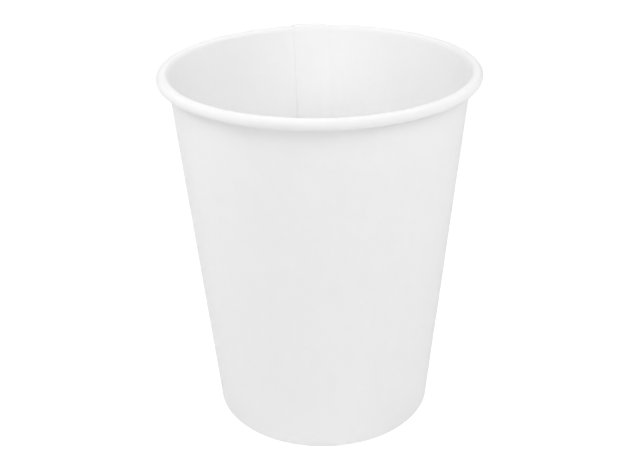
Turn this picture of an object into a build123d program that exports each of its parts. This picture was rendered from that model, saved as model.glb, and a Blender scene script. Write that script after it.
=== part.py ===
from build123d import *
import math
import os

os.makedirs("parts", exist_ok=True)

# A single-wall paper cup for a hot drink of about 8 fl oz, standing upright and empty.
# It is two pieces of board. The side wall is wound from one blank, with a lapped side seam,
# a rolled rim and a folded hem. The bottom is a disc whose skirt is glued between wall and hem.
# The origin is the centre of the standing ring, +Z runs up the cup's axis, and -Y is the front.
# Lengths are in millimetres and angles in degrees.

# Overall sizes
rim_diameter = 80.0  # over the rolled rim
foot_diameter = 58.0  # where the line of the wall's outer face meets the ground
cup_height = 94.0  # from the ground to the top of the rim

# Board
wall_board = 0.35
bottom_board = 0.32

# Rolled rim: the board rolls outwards, and is pressed a little flat on top
roll_radius = 1.25  # to the outside of the roll
roll_flat = 0.6  # between the two rounds of the roll
tuck_radius = 0.8  # last bend, which turns the raw edge up inside the roll
tuck_rise = 0.4  # straight end of the board, above that bend
roll_gap = 0.06  # between the tucked end and the wall

# Hem: the foot of the wall, folded inwards and up around the bottom's skirt
fold_radius = 0.05  # inside each of the fold's two bends
hem_room = 1.0  # between the hem's raw edge and the underside of the disc
seal_gap = 0.02  # glue line between wall, skirt and hem
skirt_lift = 0.1  # between the skirt's raw edge and the fold

# Bottom
bottom_recess = 6.6  # from the ground to the underside of the disc
bottom_bend = 0.6  # outside the bend from the disc into its skirt

# Side seam, where one end of the wound blank laps over the other
seam_azimuth = 100.7  # of the raw edge on the drink side, from +X towards +Y
lap_width = 7.5  # round the wall, at the rim
ramp_width = 3.0  # over which the covered end comes back to the wall's own line
edge_step = 0.15  # of the raw edge on the outside, which is pressed part way in
feather = 0.02  # thickness left where a ramp runs out

# The wall's line is tangent to the roll, so its lean follows from the rim and the foot.
core_radius = roll_radius - wall_board
roll_top_z = cup_height - roll_radius
roll_inner_r = rim_diameter / 2 - roll_radius - roll_flat
roll_offset = roll_inner_r - foot_diameter / 2
lean = math.degrees(math.atan2(roll_offset, roll_top_z))
lean -= math.degrees(math.asin(core_radius / math.hypot(roll_offset, roll_top_z)))
upwards = 90 - lean  # direction of the wall's line in its section


def wall_radius(height, depth=0.0):
    """Radius at a height on the wall's line, or on a line parallel to it, depth mm inwards."""
    return foot_diameter / 2 + height * math.tan(math.radians(lean)) - depth / math.cos(math.radians(lean))


# Depths of the glued layers at the foot, from the outer face of the wall
skirt_depth = wall_board + seal_gap
hem_depth = skirt_depth + bottom_board + seal_gap

# Centres of the bends in the wall's section, as radius and height
fold_z = wall_board + fold_radius
tuck_z = cup_height - 2 * roll_radius + tuck_radius
hem_centre = (wall_radius(fold_z, hem_depth - fold_radius), fold_z)
foot_centre = (wall_radius(fold_z, wall_board + fold_radius), fold_z)
hem_run = (bottom_recess - hem_room - fold_z) / math.cos(math.radians(lean))
roll_inner_centre = (roll_inner_r, roll_top_z)
roll_outer_centre = (roll_inner_r + roll_flat, roll_top_z)
tuck_centre = (wall_radius(tuck_z, -roll_gap - tuck_radius), tuck_z)

# Bottom disc
bottom_top = bottom_recess + bottom_board
bend_z = bottom_top - bottom_bend
bend_centre = (wall_radius(bend_z, skirt_depth + bottom_bend), bend_z)

# Seam
lap_foot = bottom_top + seal_gap
lap_angle = math.degrees(lap_width / wall_radius(cup_height, wall_board))
ramp_angle = math.degrees(ramp_width / wall_radius(cup_height, wall_board))
outer_edge_azimuth = seam_azimuth - lap_angle
ramp_end_azimuth = outer_edge_azimuth - ramp_angle
groove_top = cup_height - 2 * roll_radius - wall_board


def upright_plane(azimuth):
    """A plane through the cup's axis, whose x runs outwards at an azimuth and whose y runs up."""
    outwards = Vector(1, 0, 0).rotate(Axis.Z, azimuth)
    return Plane(origin=(0, 0, 0), x_dir=outwards, z_dir=outwards.rotate(Axis.Z, -90))


def roll_face(depth):
    """Draw a layer's face over the rolled rim, and return its ends. It lies depth mm from the
    board's outer face, towards the drink: outside the roll, that is."""
    rise = CenterArc(roll_inner_centre, core_radius + depth, 180 - lean, -upwards)
    fall = CenterArc(roll_outer_centre, core_radius + depth, 90, -180)
    Line(rise @ 1, fall @ 0)
    return rise @ 0, fall @ 1


def wall_face(depth):
    """Draw one whole face of the wall's board, from the hem's raw edge to the tucked one."""
    fold = fold_radius + wall_board - depth
    hem_bend = CenterArc(hem_centre, fold, 180 - lean, 90 + lean)
    foot_bend = CenterArc(foot_centre, fold, 270, upwards)
    tuck_bend = CenterArc(tuck_centre, tuck_radius - wall_board + depth, -90, -90 - lean)
    roll_start, roll_end = roll_face(depth)
    hem = PolarLine(hem_bend @ 0, hem_run, upwards)
    Line(hem_bend @ 1, foot_bend @ 0)
    Line(foot_bend @ 1, roll_start)
    Line(roll_end, tuck_bend @ 0)
    tuck = PolarLine(tuck_bend @ 1, tuck_rise, upwards)
    return hem @ 1, tuck @ 1


def lap_outline(layer):
    """Draw the seam's second layer, up the drink side of the wall and over the roll. Its back is
    buried in the middle of the wall's board."""
    buried_start, buried_end = roll_face(wall_board / 2)
    open_start, open_end = roll_face(wall_board + layer)
    buried_foot = (wall_radius(lap_foot, wall_board / 2), lap_foot)
    open_foot = (wall_radius(lap_foot, wall_board + layer), lap_foot)
    Polyline(buried_start, buried_foot, open_foot, open_start)
    Line(buried_end, open_end)


def groove_outline(depth):
    """Draw the cut beside the outer raw edge, from outside the wall to depth mm into it."""
    outside = -2 * wall_board
    foot = Line((wall_radius(0, outside), 0), (wall_radius(0, depth), 0))
    top = Line((wall_radius(groove_top, depth), groove_top), (wall_radius(groove_top, outside), groove_top))
    Line(foot @ 1, top @ 0)
    Line(top @ 1, foot @ 0)


# Side wall: one sheet turned round the axis, then the second layer at the seam, which runs out
# in a ramp, and the groove that the same ramp leaves beside the raw edge on the outside
with BuildPart() as side_wall:
    with BuildSketch(Plane.XZ):
        with BuildLine():
            outer_ends = wall_face(0)
            drink_ends = wall_face(wall_board)
            Line(outer_ends[0], drink_ends[0])
            Line(outer_ends[1], drink_ends[1])
        make_face()
    revolve(axis=Axis.Z)
    with BuildSketch(upright_plane(outer_edge_azimuth)):
        with BuildLine():
            lap_outline(wall_board)
        make_face()
    revolve(axis=Axis.Z, revolution_arc=lap_angle)
    for azimuth, layer in ((outer_edge_azimuth, wall_board), (ramp_end_azimuth, feather)):
        with BuildSketch(upright_plane(azimuth)):
            with BuildLine():
                lap_outline(layer)
            make_face()
    loft()
    for azimuth, depth in ((outer_edge_azimuth, edge_step), (ramp_end_azimuth, feather)):
        with BuildSketch(upright_plane(azimuth)):
            with BuildLine():
                groove_outline(depth)
            make_face()
    loft(mode=Mode.SUBTRACT)
side_wall.part.label = "side_wall"
export_step(side_wall.part, "parts/side_wall.step")


def bottom_face(depth):
    """Draw one face of the bottom's board, depth mm below its drink side."""
    bend = CenterArc(bend_centre, bottom_bend - depth, 90, -90 - lean)
    centre = Line((0, bottom_top - depth), bend @ 0)
    skirt = PolarLine(bend @ 1, skirt_run, -90 - lean)
    return centre @ 0, skirt @ 1


# Bottom: a disc, bent down at its edge into the skirt
skirt_top_z = bend_z - bottom_bend * math.sin(math.radians(lean))
skirt_run = (skirt_top_z - wall_board - skirt_lift) / math.cos(math.radians(lean))
with BuildPart() as bottom:
    with BuildSketch(Plane.XZ):
        with BuildLine():
            top_ends = bottom_face(0)
            under_ends = bottom_face(bottom_board)
            Line(top_ends[0], under_ends[0])
            Line(top_ends[1], under_ends[1])
        make_face()
    revolve(axis=Axis.Z)
bottom.part.label = "bottom"
export_step(bottom.part, "parts/bottom.step")
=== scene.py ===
import math

import bpy
from bpy.props import FloatProperty, FloatVectorProperty, IntProperty, PointerProperty
from mathutils import Matrix, Vector


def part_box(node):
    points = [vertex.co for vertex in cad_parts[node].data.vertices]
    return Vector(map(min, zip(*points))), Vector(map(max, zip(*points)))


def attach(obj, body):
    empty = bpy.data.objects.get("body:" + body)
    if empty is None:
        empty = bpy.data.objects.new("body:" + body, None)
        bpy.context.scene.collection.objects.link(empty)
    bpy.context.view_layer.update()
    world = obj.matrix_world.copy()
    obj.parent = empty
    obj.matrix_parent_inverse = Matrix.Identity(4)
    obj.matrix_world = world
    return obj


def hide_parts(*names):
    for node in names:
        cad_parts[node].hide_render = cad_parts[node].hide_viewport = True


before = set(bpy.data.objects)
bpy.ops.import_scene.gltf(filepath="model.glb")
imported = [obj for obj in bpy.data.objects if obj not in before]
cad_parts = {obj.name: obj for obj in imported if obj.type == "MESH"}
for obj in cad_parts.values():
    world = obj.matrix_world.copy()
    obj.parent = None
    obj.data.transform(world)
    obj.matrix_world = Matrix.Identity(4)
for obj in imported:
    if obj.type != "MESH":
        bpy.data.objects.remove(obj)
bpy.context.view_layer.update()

bl_info = {
    "name": "Paper Coffee Cup",
    "version": (1, 0, 0),
    "blender": (4, 5, 0),
    "location": "View3D > Sidebar > Cup",
    "description": "Builds a single-wall paper cup from its two pieces of board, and its studio",
    "category": "Object",
}

BODY = "root"
WALL_NODE = "side_wall"
BOTTOM_NODE = "bottom"
WALL_LOW, WALL_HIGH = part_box(WALL_NODE)
BOTTOM_LOW, BOTTOM_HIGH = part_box(BOTTOM_NODE)

# Rows of the mesh along each stretch of the two sections
HEM_ROWS = 6
FOLD_ROWS = 5
WALL_ROWS = 22
ROLL_START_ROWS = 9
ROLL_ROWS = 16
TUCK_ROWS = 7
DISC_ROWS = 22
BOTTOM_BEND_ROWS = 7
SKIRT_ROWS = 5
# Columns of the mesh across one press mark or one gather
MARK_COLUMNS = 6

# Rows nearer than the first are one, and points nearer than the second are joined
SAME_POINT = 1e-7
WELD = 1e-6
# Faces that meet at more than this are creased
CREASE = math.radians(35)
# Radius at which the UV map round the cup is true to size
UV_RADIUS = 0.037
# Waves of unevenness in a metre of board
UNEVEN_SCALE = 38.0
# Any angle above zero, for a piece of board that doesn't lap
NO_LAP = 0.01
# Half the side of the floor
FLOOR_HALF = 3.0


# ---------------------------------------------------------------- settings

class CupSizes(bpy.types.PropertyGroup):
    """Sizes of the two pieces of board."""

    rim_diameter: FloatProperty(
        name="Rim diameter", description="Over the rolled rim",
        default=round(WALL_HIGH.x - WALL_LOW.x, 4), unit="LENGTH", precision=4)
    foot_diameter: FloatProperty(
        name="Foot diameter", description="Where the wall's outer face meets the ground",
        default=0.058, unit="LENGTH", precision=4)
    wall_board: FloatProperty(
        name="Wall board", description="Thickness of the side wall's board",
        default=0.00035, unit="LENGTH", precision=5)
    bottom_board: FloatProperty(
        name="Bottom board", description="Thickness of the bottom's board",
        default=0.00032, unit="LENGTH", precision=5)
    roll_radius: FloatProperty(
        name="Roll radius", description="Outside radius of the rolled rim",
        default=0.00125, unit="LENGTH", precision=5)
    roll_flat: FloatProperty(
        name="Roll flat", description="Flat that the rim's roll is pressed to on top",
        default=0.0006, unit="LENGTH", precision=5)
    tuck_radius: FloatProperty(
        name="Tuck radius", description="Bend that turns the raw edge up inside the roll",
        default=0.0008, unit="LENGTH", precision=5)
    tuck_rise: FloatProperty(
        name="Tuck rise", description="Straight end of the board inside the roll",
        default=0.0004, unit="LENGTH", precision=5)
    roll_gap: FloatProperty(
        name="Roll gap", description="Between the tucked end and the wall",
        default=0.00006, unit="LENGTH", precision=5)
    fold_radius: FloatProperty(
        name="Fold radius", description="Inside the bends of the hem's fold",
        default=0.00005, unit="LENGTH", precision=5)
    hem_room: FloatProperty(
        name="Hem room", description="Between the hem's raw edge and the underside of the disc",
        default=0.001, unit="LENGTH", precision=4)
    glue_gap: FloatProperty(
        name="Glue gap", description="Between two glued faces",
        default=0.00002, unit="LENGTH", precision=5)
    bottom_bend: FloatProperty(
        name="Bottom bend", description="Outside radius of the bend into the bottom's skirt",
        default=0.0006, unit="LENGTH", precision=4)
    seam_azimuth: FloatProperty(
        name="Seam azimuth", description="Raw edge of the side seam on the drink side",
        default=math.radians(100.7), subtype="ANGLE")
    lap_width: FloatProperty(
        name="Lap width", description="Overlap of the side seam at the rim",
        default=0.0075, unit="LENGTH", precision=4)
    ramp_width: FloatProperty(
        name="Ramp width", description="Over which the covered end comes back to the wall's line",
        default=0.003, unit="LENGTH", precision=4)
    crush_width: FloatProperty(
        name="Crush width", description="Band along the seam's raw edge that sealing squeezes",
        default=0.0008, unit="LENGTH", precision=4)
    crush: FloatProperty(
        name="Crush", description="Share of the board's thickness lost at the raw edge",
        default=0.15, subtype="FACTOR", min=0, max=0.8)
    knurls: IntProperty(
        name="Knurls", description="Press marks round the inside of the hem", default=90)
    knurl_depth: FloatProperty(
        name="Knurl depth", description="Depth of a press mark",
        default=0.00014, unit="LENGTH", precision=5)
    pleats: IntProperty(
        name="Pleats", description="Small gathers round the bend of the bottom", default=60)
    pleat_depth: FloatProperty(
        name="Pleat depth", description="Depth of a gather",
        default=0.00005, unit="LENGTH", precision=5)
    unevenness: FloatProperty(
        name="Unevenness", description="How far the board strays from its true line",
        default=0.00006, unit="LENGTH", precision=5)


class CupFinish(bpy.types.PropertyGroup):
    """Colours and gloss of the board."""

    board_colour: FloatVectorProperty(
        name="Board colour", description="White of the coated board",
        default=(0.90, 0.90, 0.90), subtype="COLOR", size=3, min=0, max=1)
    edge_colour: FloatVectorProperty(
        name="Raw edge colour", description="Uncoated fibre where the board is cut",
        default=(0.86, 0.86, 0.85), subtype="COLOR", size=3, min=0, max=1)
    roughness: FloatProperty(
        name="Roughness", description="Roughness of the coated face, lower is shinier",
        default=0.5, subtype="FACTOR", min=0, max=1)
    gloss: FloatProperty(
        name="Gloss", description="Strength of the coating's reflection",
        default=0.35, subtype="FACTOR", min=0, max=1)
    mottle: FloatProperty(
        name="Mottle", description="Cloudiness of the board's fibre",
        default=0.03, subtype="FACTOR", min=0, max=1)


class StudioSettings(bpy.types.PropertyGroup):
    """Floor, lights and camera."""

    floor_colour: FloatVectorProperty(
        name="Floor colour", description="Pale floor",
        default=(0.90, 0.90, 0.90), subtype="COLOR", size=3, min=0, max=1)
    floor_glow: FloatProperty(
        name="Floor glow", description="Light that the floor gives by itself", default=0.1)
    floor_lift: FloatProperty(
        name="Floor lift", description="How much brighter the floor looks than it lights the cup",
        default=0.3)
    lit_reach: FloatVectorProperty(
        name="Lit reach", description="From and to where the light on the floor runs out",
        default=(0.25, 0.8), unit="LENGTH", size=2)
    backdrop: FloatProperty(
        name="Backdrop", description="Brightness seen beyond the edge of the floor", default=0.95)
    bounces: IntProperty(
        name="Bounces", description="How often light is passed on between the white walls", default=12)
    front_power: FloatProperty(
        name="Front panel", description="Power of the low panel in front",
        default=1.35, unit="POWER")
    high_front_power: FloatProperty(
        name="High front panel", description="Power of the high panel in front",
        default=1.4, unit="POWER")
    high_back_power: FloatProperty(
        name="High back panel", description="Power of the high panel behind",
        default=1.8, unit="POWER")
    corner_power: FloatProperty(
        name="Corner panels", description="Power of each low panel at the back corners",
        default=1.0, unit="POWER")
    high_right_power: FloatProperty(
        name="High right panel", description="Power of the high panel at the back right corner",
        default=0.7, unit="POWER")
    near_left_power: FloatProperty(
        name="Near left panels", description="Power of each small panel close on the left",
        default=0.18, unit="POWER")
    near_right_power: FloatProperty(
        name="Near right panel", description="Power of the small panel close on the right",
        default=0.26, unit="POWER")
    camera_distance: FloatProperty(
        name="Camera distance", description="From the lens to the point aimed at",
        default=0.2696, unit="LENGTH", precision=4)
    camera_elevation: FloatProperty(
        name="Camera elevation", description="Height of the view above the horizon",
        default=math.radians(26.16), subtype="ANGLE")
    camera_roll: FloatProperty(
        name="Camera roll", description="Turn of the camera about its own line of sight",
        default=math.radians(-0.87), subtype="ANGLE")
    camera_aim: FloatVectorProperty(
        name="Camera aim", description="Point aimed at, from the centre of the standing ring",
        default=(-0.00047, 0.0, 0.04878), subtype="XYZ", unit="LENGTH", precision=5, size=3)
    lens: FloatProperty(
        name="Lens", description="Focal length in millimetres", default=57.06, unit="CAMERA")


def sizes():
    return bpy.context.scene.cup_sizes


def finish():
    return bpy.context.scene.cup_finish


def studio():
    return bpy.context.scene.cup_studio


# ---------------------------------------------------------------- node helpers

def add_node(tree, kind, links=None, **settings):
    """Add a node, set it up, and fill its inputs with values or with other nodes' outputs."""
    node = tree.nodes.new(kind)
    for name, value in settings.items():
        setattr(node, name, value)
    for key, value in (links or {}).items():
        if isinstance(value, bpy.types.NodeSocket):
            tree.links.new(value, node.inputs[key])
        else:
            node.inputs[key].default_value = value
    return node


def calculate(tree, operation, *values):
    """The result of a Math node."""
    return add_node(tree, "ShaderNodeMath", dict(enumerate(values)), operation=operation).outputs[0]


def along(tree, vector, amount):
    """A vector made longer or shorter."""
    return add_node(
        tree, "ShaderNodeVectorMath", {0: vector, "Scale": amount}, operation="SCALE").outputs[0]


def add_vectors(tree, first, second):
    return add_node(tree, "ShaderNodeVectorMath", {0: first, 1: second}, operation="ADD").outputs[0]


def named(tree, name, data_type="FLOAT"):
    """A named attribute of the mesh."""
    return add_node(
        tree, "GeometryNodeInputNamedAttribute", {"Name": name}, data_type=data_type).outputs[0]


def store(tree, mesh, name, value, data_type="FLOAT", domain="POINT"):
    links = {"Geometry": mesh, "Name": name, "Value": value}
    return add_node(
        tree, "GeometryNodeStoreNamedAttribute", links, data_type=data_type, domain=domain).outputs[0]


def arrange(tree):
    """Lay the nodes out in rows, so that the tree can be read."""
    for place, node in enumerate(tree.nodes):
        node.location = (220 * (place % 12), -320 * (place // 12))


# ---------------------------------------------------------------- sections of the board

class Section:
    """One face of a piece of board in section, as rows of points: radius, height, the direction
    through the board to its other face, and weights for what happens there."""

    def __init__(self):
        self.points = []
        self.through = []
        self.weights = []

    def add(self, point, through, lapped=0.0, pressed=0.0):
        """One row, unless the section is there already."""
        if self.points and math.dist(self.points[-1], point) < SAME_POINT:
            return
        self.points.append(point)
        self.through.append(through)
        self.weights.append((lapped, pressed))

    def straight(self, end, through, rows, **weights):
        """Rows in a straight line to an end, from where the section is now."""
        start = self.points[-1]
        for row in range(1, rows + 1):
            share = row / rows
            point = tuple(a + (b - a) * share for a, b in zip(start, end))
            self.add(point, through, **weights)

    def bend(self, centre, radius, start, sweep, rows, board_inside, **weights):
        """Rows round a bend, with the board on the inside or the outside of this face."""
        side = -1 if board_inside else 1
        for row in range(rows + 1):
            angle = start + sweep * row / rows
            arm = (math.cos(angle), math.sin(angle))
            point = (centre[0] + radius * arm[0], centre[1] + radius * arm[1])
            self.add(point, (side * arm[0], side * arm[1]), **weights)


class CupLines:
    """The lines that both pieces of board are drawn to."""

    def __init__(self, size):
        self.size = size
        self.height = WALL_HIGH.z - size.wall_board
        self.rim_radius = size.rim_diameter / 2
        self.foot_radius = size.foot_diameter / 2
        core = size.roll_radius - size.wall_board
        self.roll_inner = (self.rim_radius - size.roll_radius - size.roll_flat,
                           self.height - size.roll_radius)
        self.roll_outer = (self.roll_inner[0] + size.roll_flat, self.roll_inner[1])
        reach = self.roll_inner[0] - self.foot_radius
        self.lean = math.atan2(reach, self.roll_inner[1])
        self.lean -= math.asin(core / math.hypot(reach, self.roll_inner[1]))
        self.bottom_top = BOTTOM_HIGH.z
        self.skirt_depth = size.wall_board + size.glue_gap
        self.hem_depth = self.skirt_depth + size.bottom_board + size.glue_gap
        self.outwards = (math.cos(self.lean), -math.sin(self.lean))
        self.inwards = (-math.cos(self.lean), math.sin(self.lean))

    def radius(self, height, depth=0.0):
        """Radius on the wall's line, or on a line parallel to it, further in by a depth."""
        return self.foot_radius + height * math.tan(self.lean) - depth / math.cos(self.lean)

    def wall_section(self):
        """Drink side of the wall's board, from the hem's raw edge to the one inside the roll."""
        size = self.size
        board = size.wall_board
        quarter = math.pi / 2
        fold_z = board + size.fold_radius
        tuck_z = self.height - 2 * size.roll_radius + size.tuck_radius
        hem_top = self.bottom_top - size.bottom_board - size.hem_room
        hem_centre = (self.radius(fold_z, self.hem_depth - size.fold_radius), fold_z)
        foot_centre = (self.radius(fold_z, board + size.fold_radius), fold_z)
        tuck_centre = (self.radius(tuck_z, -size.roll_gap - size.tuck_radius), tuck_z)
        lap_foot = self.bottom_top + size.glue_gap

        section = Section()
        section.add((self.radius(hem_top, self.hem_depth), hem_top), self.inwards)
        hem_foot = (self.radius(2 * fold_z, self.hem_depth), 2 * fold_z)
        section.straight(hem_foot, self.inwards, HEM_ROWS)
        for row in range(1, HEM_ROWS):
            section.weights[row] = (0.0, 1.0)
        section.bend(hem_centre, size.fold_radius, math.pi - self.lean, quarter + self.lean,
                     FOLD_ROWS, False)
        section.bend(foot_centre, size.fold_radius, 3 * quarter, quarter - self.lean,
                     FOLD_ROWS, False)
        for height in (fold_z * 3, lap_foot / 2, lap_foot):
            section.straight((self.radius(height, board), height), self.outwards, 1)
        lap_start = lap_foot + board
        section.straight((self.radius(lap_start, board), lap_start), self.outwards, 1, lapped=1.0)
        rise_start = (self.roll_inner[0] - size.roll_radius * math.cos(self.lean),
                      self.roll_inner[1] + size.roll_radius * math.sin(self.lean))
        section.straight(rise_start, self.outwards, WALL_ROWS, lapped=1.0)
        section.bend(self.roll_inner, size.roll_radius, math.pi - self.lean,
                     self.lean - quarter, ROLL_START_ROWS, True, lapped=1.0)
        section.bend(self.roll_outer, size.roll_radius, quarter, -math.pi,
                     ROLL_ROWS, True, lapped=1.0)
        section.bend(tuck_centre, size.tuck_radius, -quarter, -quarter - self.lean,
                     TUCK_ROWS, True)
        tuck_end = (tuck_centre[0] - size.tuck_radius * math.cos(self.lean)
                    + size.tuck_rise * math.sin(self.lean),
                    tuck_z + size.tuck_radius * math.sin(self.lean)
                    + size.tuck_rise * math.cos(self.lean))
        section.straight(tuck_end, self.outwards, 1)
        return section

    def bottom_section(self):
        """Drink side of the bottom's board, from its centre to the raw edge of its skirt."""
        size = self.size
        quarter = math.pi / 2
        downwards = (0.0, -1.0)
        bend_z = self.bottom_top - size.bottom_bend
        bend_centre = (self.radius(bend_z, self.skirt_depth + size.bottom_bend), bend_z)
        skirt_end = (self.radius(BOTTOM_LOW.z, self.skirt_depth), BOTTOM_LOW.z)
        section = Section()
        section.add((0.0, self.bottom_top), downwards)
        section.straight((bend_centre[0], self.bottom_top), downwards, DISC_ROWS)
        section.bend(bend_centre, size.bottom_bend, quarter, -quarter - self.lean,
                     BOTTOM_BEND_ROWS, True, pressed=1.0)
        section.straight(skirt_end, self.inwards, SKIRT_ROWS, pressed=1.0)
        return section


def section_object(name, section):
    """The section as a line of mesh edges, which the node tree winds round the cup."""
    mesh = bpy.data.meshes.new(name)
    points = [(radius, 0.0, height) for radius, height in section.points]
    mesh.from_pydata(points, [(row, row + 1) for row in range(len(points) - 1)], [])
    run = [0.0]
    for start, end in zip(section.points, section.points[1:]):
        run.append(run[-1] + math.dist(start, end))
    through = [part for radial, up in section.through for part in (radial, 0.0, up)]
    mesh.attributes.new("through", "FLOAT_VECTOR", "POINT").data.foreach_set("vector", through)
    lapped, pressed = zip(*section.weights)
    for label, values in (("lapped", lapped), ("pressed", pressed), ("run", run)):
        mesh.attributes.new(label, "FLOAT", "POINT").data.foreach_set("value", values)
    piece = bpy.data.objects.new(name, mesh)
    bpy.context.scene.collection.objects.link(piece)
    return piece


# ---------------------------------------------------------------- winding the board

WINDING_INPUTS = (
    ("Columns", "NodeSocketInt"),
    ("Lap Columns", "NodeSocketInt"),
    ("Seam Azimuth", "NodeSocketFloat"),
    ("Lap Angle", "NodeSocketFloat"),
    ("Ramp Angle", "NodeSocketFloat"),
    ("Crush Angle", "NodeSocketFloat"),
    ("Crush", "NodeSocketFloat"),
    ("Board", "NodeSocketFloat"),
    ("Glue Gap", "NodeSocketFloat"),
    ("Press Marks", "NodeSocketFloat"),
    ("Press Depth", "NodeSocketFloat"),
    ("Unevenness", "NodeSocketFloat"),
    ("Seed", "NodeSocketFloat"),
    ("Board Material", "NodeSocketMaterial"),
    ("Edge Material", "NodeSocketMaterial"),
)


def winding_tree():
    """Geometry nodes that wind a section of board once round the cup's axis. The board may lap
    over itself: its first end is then pushed over by one thickness, to the drink side, and
    ramps back to the line."""
    tree = bpy.data.node_groups.new("Wound board", "GeometryNodeTree")
    tree.is_modifier = True
    tree.interface.new_socket("Section", in_out="INPUT", socket_type="NodeSocketGeometry")
    for name, kind in WINDING_INPUTS:
        tree.interface.new_socket(name, in_out="INPUT", socket_type=kind)
    tree.interface.new_socket("Board", in_out="OUTPUT", socket_type="NodeSocketGeometry")
    given = add_node(tree, "NodeGroupInput").outputs
    section = given["Section"]

    # A grid with one column for each step round, and one row for each point of the section
    counts = add_node(tree, "GeometryNodeAttributeDomainSize", {"Geometry": section})
    rows = counts.outputs["Point Count"]
    grid = add_node(
        tree, "GeometryNodeMeshGrid", {"Vertices X": given["Columns"], "Vertices Y": rows})
    index = calculate(tree, "ADD", add_node(tree, "GeometryNodeInputIndex").outputs[0], 0.5)
    column = calculate(tree, "FLOOR", calculate(tree, "DIVIDE", index, rows))
    row = calculate(tree, "FLOOR", calculate(tree, "MODULO", index, rows))

    def at_row(value, data_type):
        links = {"Geometry": section, "Value": value, "Index": row}
        return add_node(
            tree, "GeometryNodeSampleIndex", links, data_type=data_type, domain="POINT").outputs[0]

    point = at_row(add_node(tree, "GeometryNodeInputPosition").outputs[0], "FLOAT_VECTOR")
    through = at_row(named(tree, "through", "FLOAT_VECTOR"), "FLOAT_VECTOR")
    lapped = at_row(named(tree, "lapped"), "FLOAT")
    pressed = at_row(named(tree, "pressed"), "FLOAT")
    run = at_row(named(tree, "run"), "FLOAT")

    # How far round each column is, and how far its layer is pushed over by the lap
    last_column = calculate(tree, "SUBTRACT", given["Columns"], 1.0)
    full_travel = calculate(tree, "ADD", given["Lap Angle"], 2 * math.pi)
    travel = calculate(tree, "MULTIPLY", calculate(tree, "DIVIDE", column, last_column), full_travel)
    azimuth = calculate(tree, "SUBTRACT", given["Seam Azimuth"], travel)
    ramp_end = calculate(tree, "ADD", given["Lap Angle"], given["Ramp Angle"])
    ramp = add_node(
        tree, "ShaderNodeMapRange",
        {"Value": travel, "From Min": given["Lap Angle"], "From Max": ramp_end,
         "To Min": 1.0, "To Max": 0.0},
        interpolation_type="SMOOTHSTEP").outputs[0]
    squeeze = add_node(
        tree, "ShaderNodeMapRange",
        {"Value": travel, "From Min": 0.0, "From Max": given["Crush Angle"],
         "To Min": given["Crush"], "To Max": 0.0},
        interpolation_type="SMOOTHSTEP").outputs[0]
    kept = calculate(tree, "SUBTRACT", 1.0, calculate(tree, "MULTIPLY", squeeze, lapped))
    thickness = calculate(tree, "MULTIPLY", given["Board"], kept)
    layer_shift = calculate(tree, "ADD", thickness, given["Glue Gap"])
    push = calculate(tree, "MULTIPLY", calculate(tree, "MULTIPLY", ramp, lapped), layer_shift)
    pushed = add_vectors(tree, point, along(tree, through, calculate(tree, "MULTIPLY", push, -1.0)))

    # Press marks, drawn along the board's own thickness, and a slight unevenness of the whole
    wave = calculate(tree, "COSINE", calculate(tree, "MULTIPLY", azimuth, given["Press Marks"]))
    mark = calculate(tree, "MULTIPLY", calculate(tree, "SUBTRACT", 1.0, wave), 0.5)
    mark = calculate(tree, "MULTIPLY", mark, pressed)
    depth = calculate(tree, "MULTIPLY", mark, given["Press Depth"])
    marked = add_vectors(tree, pushed, along(tree, through, depth))

    def turned(vector, more_radius=0.0):
        """A vector of the section's plane, turned round the axis to its column."""
        parts = add_node(tree, "ShaderNodeSeparateXYZ", {0: vector}).outputs
        radius = calculate(tree, "ADD", parts["X"], more_radius)
        links = {
            "X": calculate(tree, "MULTIPLY", radius, calculate(tree, "COSINE", azimuth)),
            "Y": calculate(tree, "MULTIPLY", radius, calculate(tree, "SINE", azimuth)),
            "Z": parts["Z"],
        }
        return add_node(tree, "ShaderNodeCombineXYZ", links).outputs[0]

    true_place = turned(point)
    noise = add_node(
        tree, "ShaderNodeTexNoise",
        {"Vector": true_place, "W": given["Seed"], "Scale": UNEVEN_SCALE, "Detail": 1.0,
         "Roughness": 0.4},
        noise_dimensions="4D").outputs[0]
    stray = calculate(
        tree, "MULTIPLY", calculate(tree, "SUBTRACT", noise, 0.5),
        calculate(tree, "MULTIPLY", given["Unevenness"], 2.0))
    place = turned(marked, stray)

    # Kept on the mesh: the way to the other face, a UV map, and what the lap covers
    to_back = along(tree, turned(through), thickness)
    mesh = store(tree, grid.outputs["Mesh"], "to_back", to_back, "FLOAT_VECTOR")
    round_run = calculate(tree, "MULTIPLY", travel, UV_RADIUS)
    board_uv = add_node(tree, "ShaderNodeCombineXYZ", {"X": round_run, "Y": run}).outputs[0]
    mesh = store(tree, mesh, "board_uv", board_uv, "FLOAT2", "CORNER")
    covered = calculate(
        tree, "MULTIPLY",
        calculate(tree, "LESS_THAN", column, calculate(tree, "ADD", given["Lap Columns"], -0.5)),
        calculate(tree, "LESS_THAN", lapped, 0.5))
    mesh = store(tree, mesh, "covered", covered)
    mesh = add_node(tree, "GeometryNodeSetPosition", {"Geometry": mesh, "Position": place}).outputs[0]

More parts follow.
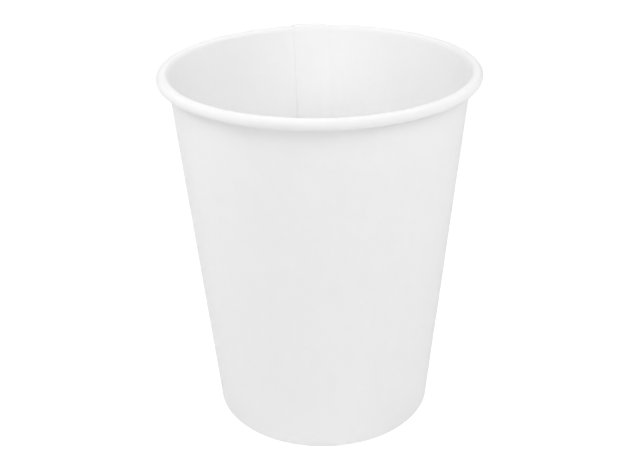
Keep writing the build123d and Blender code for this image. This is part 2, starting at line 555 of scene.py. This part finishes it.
    # Under the lap the hem and the tucked edge are a single layer, so the covered ones go
    hidden = calculate(tree, "GREATER_THAN", named(tree, "covered"), 0.1)
    mesh = add_node(
        tree, "GeometryNodeDeleteGeometry", {"Geometry": mesh, "Selection": hidden},
        domain="FACE").outputs[0]
    front = weld(tree, mesh)
    whole = smooth_faces(tree, thicken(tree, front))
    whole = add_node(tree, "GeometryNodeRealizeInstances", {"Geometry": whole}).outputs[0]
    whole = add_node(
        tree, "GeometryNodeSetMaterial",
        {"Geometry": whole, "Material": given["Board Material"]}).outputs[0]
    whole = add_node(
        tree, "GeometryNodeSetMaterial",
        {"Geometry": whole, "Selection": named(tree, "raw_edge", "BOOLEAN"),
         "Material": given["Edge Material"]}).outputs[0]
    add_node(tree, "NodeGroupOutput", {0: whole})
    arrange(tree)
    return tree


def weld(tree, mesh):
    """Join the points that lie on each other, as at the centre and where the board closes."""
    links = {"Geometry": mesh, "Distance": WELD}
    return add_node(tree, "GeometryNodeMergeByDistance", links).outputs[0]


def thicken(tree, front):
    """Give one face of the board its other face, and the cut edges between the two."""
    turned_over = add_node(tree, "GeometryNodeFlipFaces", {"Mesh": front}).outputs[0]
    raised = add_node(
        tree, "GeometryNodeExtrudeMesh",
        {"Mesh": turned_over, "Offset Scale": 0.0, "Individual": False}, mode="FACES")
    back = add_node(
        tree, "GeometryNodeSetPosition",
        {"Geometry": raised.outputs["Mesh"], "Selection": raised.outputs["Top"],
         "Offset": named(tree, "to_back", "FLOAT_VECTOR")}).outputs[0]
    back = store(tree, back, "raw_edge", raised.outputs["Side"], "BOOLEAN", "FACE")
    both = add_node(tree, "GeometryNodeJoinGeometry")
    tree.links.new(front, both.inputs[0])
    tree.links.new(back, both.inputs[0])
    return weld(tree, both.outputs[0])


def smooth_faces(tree, whole):
    """Smooth faces, with a crease wherever the board turns sharply."""
    edge_angle = add_node(tree, "GeometryNodeInputMeshEdgeAngle").outputs["Unsigned Angle"]
    gentle = calculate(tree, "LESS_THAN", edge_angle, CREASE)
    whole = add_node(
        tree, "GeometryNodeSetShadeSmooth", {"Geometry": whole, "Shade Smooth": gentle},
        domain="EDGE").outputs[0]
    return add_node(
        tree, "GeometryNodeSetShadeSmooth", {"Geometry": whole, "Shade Smooth": True},
        domain="FACE").outputs[0]


def wind(section_piece, values):
    """Run the winding tree on a section, and return the result as a plain mesh object."""
    tree = bpy.data.node_groups.get("Wound board") or winding_tree()
    modifier = section_piece.modifiers.new("Wind", "NODES")
    modifier.node_group = tree
    for item in tree.interface.items_tree:
        if item.item_type == "SOCKET" and item.in_out == "INPUT" and item.name in values:
            modifier[item.identifier] = values[item.name]
    bpy.context.view_layer.update()
    evaluated = section_piece.evaluated_get(bpy.context.evaluated_depsgraph_get())
    mesh = bpy.data.meshes.new_from_object(evaluated)
    name = section_piece.name.replace("_section", "")
    bpy.data.objects.remove(section_piece)
    mesh.name = name
    piece = bpy.data.objects.new(name, mesh)
    bpy.context.scene.collection.objects.link(piece)
    return piece


# ---------------------------------------------------------------- finishes

# Patches in a metre of board
CLOUD_SCALE = 260.0
WAVE_SCALE = 520.0
SHEEN_SCALE = 900.0
FIBRE_SCALE = 2600.0

# Height of the waves in the surface beside that of the fibres, and change in roughness
WAVE_WEIGHT = 2.5
SHEEN_CHANGE = 0.12

# Depth in metres of the coated board's relief, and the look of a cut edge
COATED_RELIEF = 0.00005
RAW_RELIEF = 0.00004
RAW_ROUGHNESS = 0.75
RAW_GLOSS = 0.2


def formation_group():
    """Cloudy fibre of the board: a brightness near 1, a change in roughness and a fine height."""
    name = "Board formation"
    if name in bpy.data.node_groups:
        return bpy.data.node_groups[name]
    tree = bpy.data.node_groups.new(name, "ShaderNodeTree")
    for label, kind in (("Vector", "NodeSocketVector"), ("Mottle", "NodeSocketFloat")):
        tree.interface.new_socket(label, in_out="INPUT", socket_type=kind)
    for label in ("Brightness", "Roughness", "Height"):
        tree.interface.new_socket(label, in_out="OUTPUT", socket_type="NodeSocketFloat")
    given = add_node(tree, "NodeGroupInput").outputs

    def noise(scale, detail):
        links = {"Vector": given["Vector"], "Scale": scale, "Detail": detail, "Roughness": 0.6}
        return add_node(tree, "ShaderNodeTexNoise", links).outputs[0]

    cloud = calculate(tree, "SUBTRACT", noise(CLOUD_SCALE, 3.0), 0.5)
    fibre = noise(FIBRE_SCALE, 4.0)
    brightness = calculate(
        tree, "ADD", calculate(tree, "MULTIPLY", cloud, given["Mottle"]), 1.0)
    sheen = calculate(tree, "SUBTRACT", noise(SHEEN_SCALE, 2.0), 0.5)
    roughness = calculate(tree, "MULTIPLY", sheen, SHEEN_CHANGE)
    waves = calculate(tree, "MULTIPLY", noise(WAVE_SCALE, 2.0), WAVE_WEIGHT)
    height = calculate(tree, "ADD", fibre, waves)
    outputs = {"Brightness": brightness, "Roughness": roughness, "Height": height}
    add_node(tree, "NodeGroupOutput", outputs)
    arrange(tree)
    return tree


def board_material(name, colour, roughness, gloss, relief_depth):
    """Coated or bare paper board."""
    material = bpy.data.materials.new(name)
    material.use_nodes = True
    tree = material.node_tree
    tree.nodes.clear()
    place = add_node(tree, "ShaderNodeTexCoord").outputs["Object"]
    formation = add_node(tree, "ShaderNodeGroup", node_tree=formation_group())
    formation.inputs["Mottle"].default_value = finish().mottle
    tree.links.new(place, formation.inputs["Vector"])
    tint = add_node(
        tree, "ShaderNodeVectorMath",
        {0: tuple(colour), "Scale": formation.outputs["Brightness"]}, operation="SCALE").outputs[0]
    uneven_roughness = calculate(tree, "ADD", formation.outputs["Roughness"], roughness)
    relief = add_node(
        tree, "ShaderNodeBump",
        {"Height": formation.outputs["Height"], "Distance": relief_depth,
         "Strength": 0.5}).outputs[0]
    shader = add_node(
        tree, "ShaderNodeBsdfPrincipled",
        {"Base Color": tint, "Roughness": uneven_roughness, "Normal": relief,
         "Specular IOR Level": gloss})
    add_node(tree, "ShaderNodeOutputMaterial", {"Surface": shader.outputs[0]})
    arrange(tree)
    return material


def board_materials(piece):
    """The coated faces and the raw cut edges of one piece of board."""
    look = finish()
    coated = board_material(
        f"coated_{piece}_board", look.board_colour, look.roughness, look.gloss, COATED_RELIEF)
    raw = board_material(
        f"raw_{piece}_edge", look.edge_colour, RAW_ROUGHNESS, RAW_GLOSS, RAW_RELIEF)
    return coated, raw


def floor_material():
    """Pale matt floor. It glows a little, and looks brighter still without lighting the cup more,
    the more so beyond the reach of the lights."""
    settings = studio()
    material = bpy.data.materials.new("pale_floor")
    material.use_nodes = True
    tree = material.node_tree
    tree.nodes.clear()
    place = add_node(tree, "ShaderNodeTexCoord").outputs["Object"]
    distance = add_node(
        tree, "ShaderNodeVectorMath", {0: place}, operation="LENGTH").outputs["Value"]
    lift = add_node(
        tree, "ShaderNodeMapRange",
        {"Value": distance, "From Min": settings.lit_reach[0], "From Max": settings.lit_reach[1],
         "To Min": settings.floor_lift, "To Max": settings.backdrop},
        interpolation_type="SMOOTHSTEP").outputs[0]
    seen = add_node(tree, "ShaderNodeLightPath").outputs["Is Camera Ray"]
    lift = calculate(tree, "MULTIPLY", seen, lift)
    shader = add_node(
        tree, "ShaderNodeBsdfPrincipled",
        {"Base Color": (*settings.floor_colour, 1.0), "Roughness": 0.9, "Specular IOR Level": 0.1,
         "Emission Color": (1.0, 1.0, 1.0, 1.0),
         "Emission Strength": calculate(tree, "ADD", lift, settings.floor_glow)})
    add_node(tree, "ShaderNodeOutputMaterial", {"Surface": shader.outputs[0]})
    arrange(tree)
    return material


def surround():
    """A white surround that is seen past the floor, and lights nothing."""
    world = bpy.data.worlds.new("surround")
    world.use_nodes = True
    tree = world.node_tree
    tree.nodes.clear()
    seen = add_node(tree, "ShaderNodeLightPath").outputs["Is Camera Ray"]
    strength = calculate(tree, "MULTIPLY", seen, studio().backdrop)
    light = add_node(
        tree, "ShaderNodeBackground", {"Color": (1.0, 1.0, 1.0, 1.0), "Strength": strength})
    add_node(tree, "ShaderNodeOutputWorld", {"Surface": light.outputs[0]})
    arrange(tree)
    return world


# ---------------------------------------------------------------- operators

class CUP_OT_side_wall(bpy.types.Operator):
    """Wind the side wall, with its lapped seam, rolled rim and folded hem"""

    bl_idname = "cup.side_wall"
    bl_label = "Side Wall"

    def execute(self, context):
        size = sizes()
        lines = CupLines(size)
        round_columns = MARK_COLUMNS * size.knurls
        pitch = 2 * math.pi / round_columns
        rim_line = lines.radius(lines.height, size.wall_board)
        lap_columns = round(size.lap_width / rim_line / pitch)
        coated, raw = board_materials("wall")
        piece = wind(section_object("cup_side_wall_section", lines.wall_section()), {
            "Columns": round_columns + lap_columns + 1,
            "Lap Columns": lap_columns,
            "Seam Azimuth": size.seam_azimuth,
            "Lap Angle": lap_columns * pitch,
            "Ramp Angle": size.ramp_width / rim_line,
            "Crush Angle": size.crush_width / rim_line,
            "Crush": size.crush,
            "Board": size.wall_board,
            "Glue Gap": size.glue_gap,
            "Press Marks": float(size.knurls),
            "Press Depth": size.knurl_depth,
            "Unevenness": size.unevenness,
            "Seed": 3.0,
            "Board Material": coated,
            "Edge Material": raw,
        })
        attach(piece, BODY)
        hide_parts(WALL_NODE)
        return {"FINISHED"}


class CUP_OT_bottom(bpy.types.Operator):
    """Press the bottom disc, with its skirt turned down between the wall and the hem"""

    bl_idname = "cup.bottom"
    bl_label = "Bottom"

    def execute(self, context):
        size = sizes()
        lines = CupLines(size)
        coated, raw = board_materials("bottom")
        piece = wind(section_object("cup_bottom_section", lines.bottom_section()), {
            "Columns": MARK_COLUMNS * size.pleats + 1,
            "Lap Columns": 0,
            "Seam Azimuth": 0.0,
            "Lap Angle": 0.0,
            "Ramp Angle": NO_LAP,
            "Crush Angle": NO_LAP,
            "Crush": 0.0,
            "Board": size.bottom_board,
            "Glue Gap": size.glue_gap,
            "Press Marks": float(size.pleats),
            "Press Depth": size.pleat_depth,
            "Unevenness": 0.0,
            "Seed": 5.0,
            "Board Material": coated,
            "Edge Material": raw,
        })
        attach(piece, BODY)
        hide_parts(BOTTOM_NODE)
        return {"FINISHED"}


def soft_panel(name, azimuth, elevation, distance, side, power):
    """A square soft light that faces the cup's middle. Azimuth is 0 in front and 90 on the right."""
    turn, rise = math.radians(azimuth), math.radians(elevation)
    away = Vector((math.sin(turn) * math.cos(rise), -math.cos(turn) * math.cos(rise), math.sin(rise)))
    light = bpy.data.lights.new(name, "AREA")
    light.shape = "SQUARE"
    light.size = side
    light.energy = power
    panel = bpy.data.objects.new(name, light)
    panel.location = Vector((0.0, 0.0, (WALL_LOW.z + WALL_HIGH.z) / 2)) + away * distance
    panel.rotation_euler = away.to_track_quat("Z", "Y").to_euler()
    panel.visible_camera = False
    bpy.context.scene.collection.objects.link(panel)


class CUP_OT_stage(bpy.types.Operator):
    """Lay the pale floor, hang the soft lights and set up the camera"""

    bl_idname = "cup.stage"
    bl_label = "Stage"

    def execute(self, context):
        scene = bpy.context.scene
        settings = studio()

        mesh = bpy.data.meshes.new("floor")
        half = FLOOR_HALF
        corners = [(-half, -half, 0.0), (half, -half, 0.0), (half, half, 0.0), (-half, half, 0.0)]
        mesh.from_pydata(corners, [], [(0, 1, 2, 3)])
        mesh.materials.append(floor_material())
        floor = bpy.data.objects.new("floor", mesh)
        scene.collection.objects.link(floor)

        scene.world = surround()
        scene.cycles.diffuse_bounces = settings.bounces

        # Azimuth and elevation in degrees, then distance with side, then power
        low, middle, high = 20, 40, 50
        far, near = (0.8, 0.4), (0.3, 0.15)
        panels = (
            ("front_panel", 0, low, far, settings.front_power),
            ("high_front_panel", 0, high, far, settings.high_front_power),
            ("high_back_panel", 180, high, far, settings.high_back_power),
            ("left_corner_panel", -120, low, far, settings.corner_power),
            ("right_corner_panel", 120, low, far, settings.corner_power),
            ("high_right_panel", 120, high, far, settings.high_right_power),
            ("near_left_panel", -60, middle, near, settings.near_left_power),
            ("near_high_left_panel", -85, high, near, settings.near_left_power),
            ("near_right_panel", 60, middle, near, settings.near_right_power),
        )
        for name, azimuth, elevation, (distance, side), power in panels:
            soft_panel(name, azimuth, elevation, distance, side, power)

        scene.view_settings.view_transform = "Standard"
        scene.view_settings.look = "None"

        camera = bpy.data.objects.new("camera", bpy.data.cameras.new("camera"))
        camera.data.lens = settings.lens
        camera.data.clip_start = 0.01
        back = Vector((0.0, -math.cos(settings.camera_elevation), math.sin(settings.camera_elevation)))
        look = (-back).to_track_quat("-Z", "Y").to_matrix().to_4x4()
        place = Vector(settings.camera_aim) + back * settings.camera_distance
        roll = Matrix.Rotation(settings.camera_roll, 4, "Z")
        camera.matrix_world = Matrix.Translation(place) @ look @ roll
        scene.collection.objects.link(camera)
        scene.camera = camera
        return {"FINISHED"}


class CUP_PT_panel(bpy.types.Panel):
    """Builds the cup piece by piece"""

    bl_label = "Paper Cup"
    bl_idname = "CUP_PT_panel"
    bl_space_type = "VIEW_3D"
    bl_region_type = "UI"
    bl_category = "Cup"

    def draw(self, context):
        layout = self.layout
        for step in OPERATORS:
            layout.operator(step.bl_idname)
        for title, group in (("Sizes", sizes()), ("Finish", finish()), ("Studio", studio())):
            box = layout.box()
            box.label(text=title)
            for name in group.__annotations__:
                box.prop(group, name)


SETTINGS = {"cup_sizes": CupSizes, "cup_finish": CupFinish, "cup_studio": StudioSettings}
OPERATORS = (CUP_OT_side_wall, CUP_OT_bottom, CUP_OT_stage)


def register():
    for group in SETTINGS.values():
        bpy.utils.register_class(group)
    for item in (*OPERATORS, CUP_PT_panel):
        bpy.utils.register_class(item)
    for name, group in SETTINGS.items():
        setattr(bpy.types.Scene, name, PointerProperty(type=group))


def unregister():
    for name in SETTINGS:
        delattr(bpy.types.Scene, name)
    for item in (CUP_PT_panel, *reversed(OPERATORS)):
        bpy.utils.unregister_class(item)
    for group in reversed(SETTINGS.values()):
        bpy.utils.unregister_class(group)


def main():
    register()
    bpy.ops.cup.side_wall()
    bpy.ops.cup.bottom()
    bpy.ops.cup.stage()


if __name__ == "__main__":
    main()
